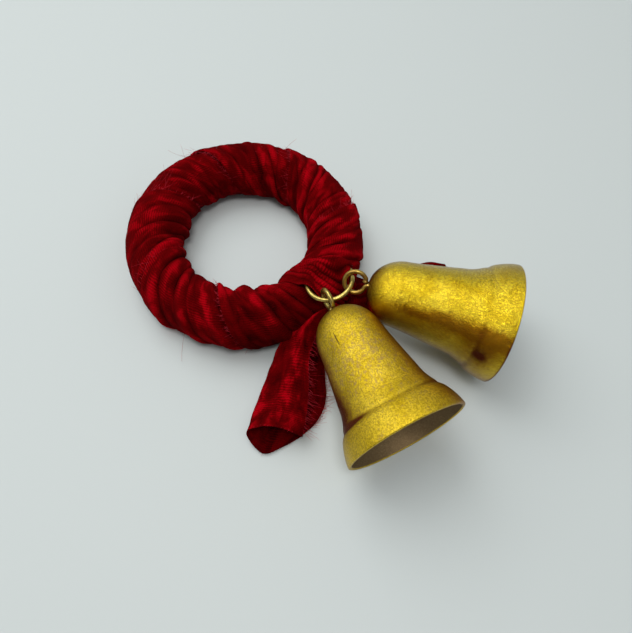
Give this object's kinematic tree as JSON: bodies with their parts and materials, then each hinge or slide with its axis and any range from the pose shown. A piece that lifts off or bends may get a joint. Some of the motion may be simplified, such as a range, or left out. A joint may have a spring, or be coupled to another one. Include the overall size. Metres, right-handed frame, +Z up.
{
  "type": "sleigh bells",
  "caption": "Hand-held or hanging jingle ornament: small metal bells linked by an open wire ring to a hoop wound with a strip of crushed velvet, tied ends loose.",
  "frame": {"origin": "on the surface the object lies on, under the centre of its overall box", "axes": "+Z up from the surface, +X from the hoop towards the mouth of bell B, +Y away from the mouth of bell A"},
  "size_m": [0.1141, 0.1066, 0.0339],
  "materials": {
    "core_wood": "bare turned wood",
    "velvet": "crushed deep red velvet, raw cut edges",
    "wire": "drawn brass wire, slightly dulled",
    "bell_gilt": "worn gilt over brass, brown patina in the recesses",
    "clapper_metal": "dull plated steel"
  },
  "bodies": {
    "hoop": {"hoop_core": "core_wood", "velvet_wrap": "velvet", "binding_ribbon": "velvet", "ribbon_knot": "velvet", "ribbon_tail_left": "velvet", "ribbon_tail_right": "velvet"},
    "jump_ring": {"jump_ring": "wire"},
    "bell_a_eye": {"bell_a_eye": "wire"},
    "bell_a": {"bell_a_shell": "bell_gilt"},
    "bell_a_clapper": {"bell_a_clapper_wire": "clapper_metal", "bell_a_clapper_ball": "clapper_metal"},
    "bell_b_eye": {"bell_b_eye": "wire"},
    "bell_b": {"bell_b_shell": "bell_gilt"},
    "bell_b_clapper": {"bell_b_clapper_wire": "clapper_metal", "bell_b_clapper_ball": "clapper_metal"}
  },
  "joints": [
    {"name": "jump_ring_tilt", "type": "hinge", "parent": "hoop", "child": "jump_ring", "pos_m": [0.00034, 0.00221, 0.01758], "axis": [-0.5752, -0.8096, -0.1172], "range_deg": [0, 70]},
    {"name": "bell_a_swing", "type": "hinge", "parent": "jump_ring", "child": "bell_a_eye", "pos_m": [0.00562, -0.00809, 0.01937], "axis": [-0.8499, -0.527, 0], "range_deg": [-3, 80]},
    {"name": "bell_a_swivel", "type": "hinge", "parent": "bell_a_eye", "child": "bell_a", "pos_m": [0.0073, -0.01081, 0.01862], "axis": [0.5265, -0.8492, -0.0412], "continuous": true},
    {"name": "bell_a_clapper_swing", "type": "hinge", "parent": "bell_a_eye", "child": "bell_a_clapper", "pos_m": [0.01041, -0.01582, 0.01837], "axis": [-0.8499, -0.527, 0], "range_deg": [0, 38]},
    {"name": "bell_b_swing", "type": "hinge", "parent": "jump_ring", "child": "bell_b_eye", "pos_m": [0.01163, -0.00244, 0.0207], "axis": [0.1599, 0.9871, 0], "range_deg": [-80, 3]},
    {"name": "bell_b_swivel", "type": "hinge", "parent": "bell_b_eye", "child": "bell_b", "pos_m": [0.01605, -0.00316, 0.02074], "axis": [0.9822, -0.1591, -0.0997], "continuous": true},
    {"name": "bell_b_clapper_swing", "type": "hinge", "parent": "bell_b_eye", "child": "bell_b_clapper", "pos_m": [0.02185, -0.00409, 0.02016], "axis": [-0.1599, -0.9871, 0], "range_deg": [0, 38]}
  ]
}
